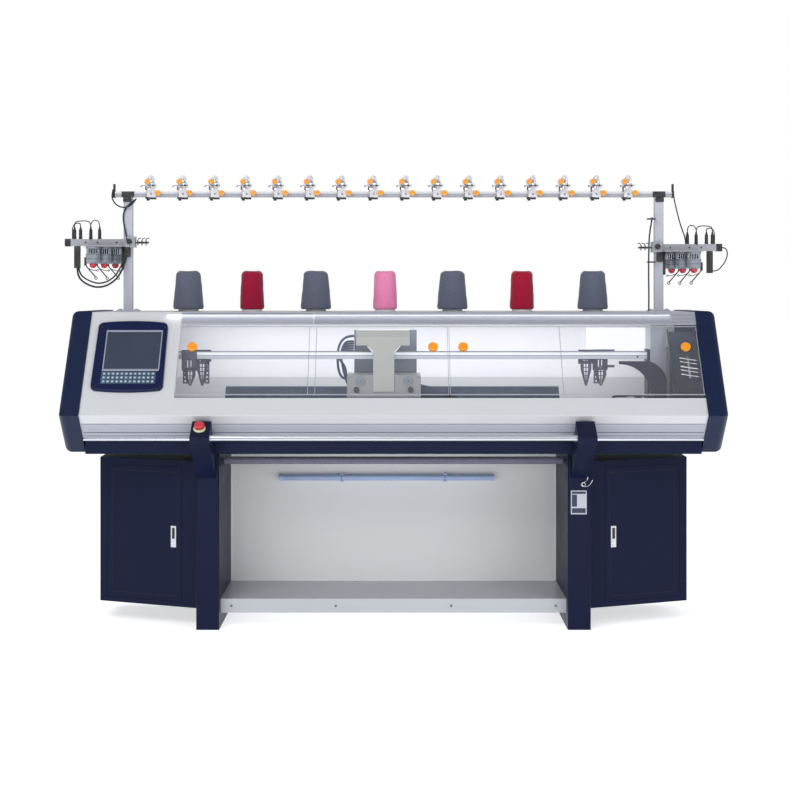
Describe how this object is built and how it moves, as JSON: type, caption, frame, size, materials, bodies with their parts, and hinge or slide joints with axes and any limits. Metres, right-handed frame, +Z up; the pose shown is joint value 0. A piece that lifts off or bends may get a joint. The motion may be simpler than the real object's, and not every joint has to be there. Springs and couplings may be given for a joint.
{
  "type": "flat knitting machine",
  "caption": "Computerised flat knitting machine with sloping clear covers, carriage over two needle beds, side cupboards, fabric shelf and overhead yarn rack with cones.",
  "frame": {"origin": "centre of the floor footprint of the whole machine, without its free leads, at floor level", "axes": "+X along the needle beds to the right as seen from the operator, +Y from the operator to the rear, +Z up"},
  "size_m": [2.7805, 0.88, 1.806],
  "materials": {
    "navy_paint": "navy powder coat",
    "navy_moulding": "navy moulded cover",
    "white_paint": "off-white powder coat",
    "bright_metal": "brushed aluminium",
    "ground_steel": "ground steel",
    "chrome": "chrome plate",
    "clear_sheet": "clear acrylic sheet",
    "orange_plastic": "orange moulding",
    "red_plastic": "red moulding",
    "pale_plastic": "pale ring",
    "dark_glass": "dark display",
    "key_membrane": "grey-blue membrane keys",
    "beige_cast": "light grey enamel",
    "grey_blue_plate": "grey-blue plate",
    "black_plastic": "black moulding",
    "carrier_steel": "dark carrier steel",
    "roller_rubber": "ribbed roller rubber",
    "tension_body": "light grey moulding",
    "feeder_grey": "grey moulding",
    "yarn": "wound yarn",
    "cable_black": "black cable sheath",
    "cable_blue": "dark blue cable sheath"
  },
  "bodies": {
    "frame": {"back_panel": "white_paint", "bed_beam": "navy_paint", "carriage_guides": "ground_steel", "cone_pegs": "tension_body", "drive_housing": "navy_paint", "edge_trim": "bright_metal", "estop_collar": "pale_plastic", "fabric_shelf": "white_paint", "feeder_arms": "black_plastic", "feeder_bars": "bright_metal", "feeder_bodies": "feeder_grey", "feeder_domes": "red_plastic", "front_cover": "white_paint", "front_needle_bed": "ground_steel", "keypad": "key_membrane", "left_bar_bracket": "navy_paint", "left_cabinet": "navy_paint", "left_end_cover": "navy_moulding", "left_hanging_lead": "cable_black", "left_leg": "navy_paint", "rack_beam": "white_paint", "rack_posts": "white_paint", "rail_brackets": "navy_paint", "rear_cover": "white_paint", "rear_needle_bed": "ground_steel", "rear_window": "clear_sheet", "right_bar_bracket": "navy_paint", "right_cabinet": "navy_paint", "right_end_cover": "navy_moulding", "right_leg": "navy_paint", "right_side_lead": "cable_black", "screen_bezel": "navy_moulding", "screen_glass": "dark_glass", "tension_bodies": "tension_body", "tension_knobs": "orange_plastic", "work_lamp": "white_paint", "yarn_cones": "yarn", "yarn_rails": "bright_metal", "yarn_table": "white_paint"},
    "start_bar": {"start_bar": "ground_steel"},
    "estop_button": {"estop_button": "red_plastic"},
    "left_door": {"left_door": "navy_paint"},
    "right_door": {"right_door": "navy_paint"},
    "left_lock_lever": {"left_lock_lever": "chrome"},
    "right_lock_lever": {"right_lock_lever": "chrome"},
    "left_window": {"left_window": "clear_sheet", "left_window_knobs": "orange_plastic"},
    "right_window": {"right_window": "clear_sheet", "right_window_knobs": "orange_plastic"},
    "carriage": {"cam_boxes": "beige_cast", "carriage_cover": "beige_cast", "carriage_plate": "grey_blue_plate", "carriage_knobs": "black_plastic", "carriage_lead": "cable_blue"},
    "yarn_carrier_1": {"yarn_carrier_1": "carrier_steel"},
    "yarn_carrier_2": {"yarn_carrier_2": "carrier_steel"},
    "yarn_carrier_3": {"yarn_carrier_3": "carrier_steel"},
    "yarn_carrier_4": {"yarn_carrier_4": "carrier_steel"},
    "takedown_roller": {"takedown_roller": "roller_rubber"},
    "tension_arms": {"tension_arms": "black_plastic"}
  },
  "joints": [
    {"name": "start_bar_turn", "type": "hinge", "parent": "frame", "child": "start_bar", "pos_m": [0, -0.41, 0.767], "axis": [1, 0, 0], "range_deg": [-25, 25]},
    {"name": "estop_press", "type": "slide", "parent": "frame", "child": "estop_button", "axis": [0, 0.4951, -0.8688], "range_m": [0, 0.005], "stiffness_N_per_m": 400},
    {"name": "left_door_hinge", "type": "hinge", "parent": "frame", "child": "left_door", "pos_m": [-1.14989, 0.00859, 0.361], "axis": [0, 0, -1], "range_deg": [0, 110]},
    {"name": "right_door_hinge", "type": "hinge", "parent": "frame", "child": "right_door", "pos_m": [1.14989, 0.00859, 0.361], "axis": [0, 0, 1], "range_deg": [0, 110]},
    {"name": "left_lever_lift", "type": "hinge", "parent": "left_door", "child": "left_lock_lever", "pos_m": [-0.87059, -0.10801, 0.3935], "axis": [-0.9228, 0.3853, 0], "range_deg": [0, 50]},
    {"name": "right_lever_lift", "type": "hinge", "parent": "right_door", "child": "right_lock_lever", "pos_m": [0.87059, -0.10801, 0.3935], "axis": [-0.9228, -0.3853, 0], "range_deg": [0, 50]},
    {"name": "left_window_lift", "type": "hinge", "parent": "frame", "child": "left_window", "pos_m": [0, -0.09285, 1.18464], "axis": [-1, 0, 0], "range_deg": [0, 80]},
    {"name": "right_window_lift", "type": "hinge", "parent": "frame", "child": "right_window", "pos_m": [0, -0.09285, 1.18464], "axis": [-1, 0, 0], "range_deg": [0, 80]},
    {"name": "carriage_travel", "type": "slide", "parent": "frame", "child": "carriage", "axis": [1, 0, 0], "range_m": [-0.64, 0.7]},
    {"name": "carrier_1_travel", "type": "slide", "parent": "frame", "child": "yarn_carrier_1", "axis": [1, 0, 0], "range_m": [0, 1.62]},
    {"name": "carrier_2_travel", "type": "slide", "parent": "frame", "child": "yarn_carrier_2", "axis": [1, 0, 0], "range_m": [0, 1.62]},
    {"name": "carrier_3_travel", "type": "slide", "parent": "frame", "child": "yarn_carrier_3", "axis": [1, 0, 0], "range_m": [-1.62, 0]},
    {"name": "carrier_4_travel", "type": "slide", "parent": "frame", "child": "yarn_carrier_4", "axis": [1, 0, 0], "range_m": [-1.62, 0]},
    {"name": "roller_turn", "type": "hinge", "parent": "frame", "child": "takedown_roller", "pos_m": [0, -0.03, 0.645], "axis": [1, 0, 0], "continuous": true},
    {"name": "tension_arm_swing", "type": "hinge", "parent": "frame", "child": "tension_arms", "pos_m": [0, 0.2585, 1.763], "axis": [1, 0, 0], "range_deg": [-40, 40], "stiffness_Nm_per_rad": 0.3}
  ]
}
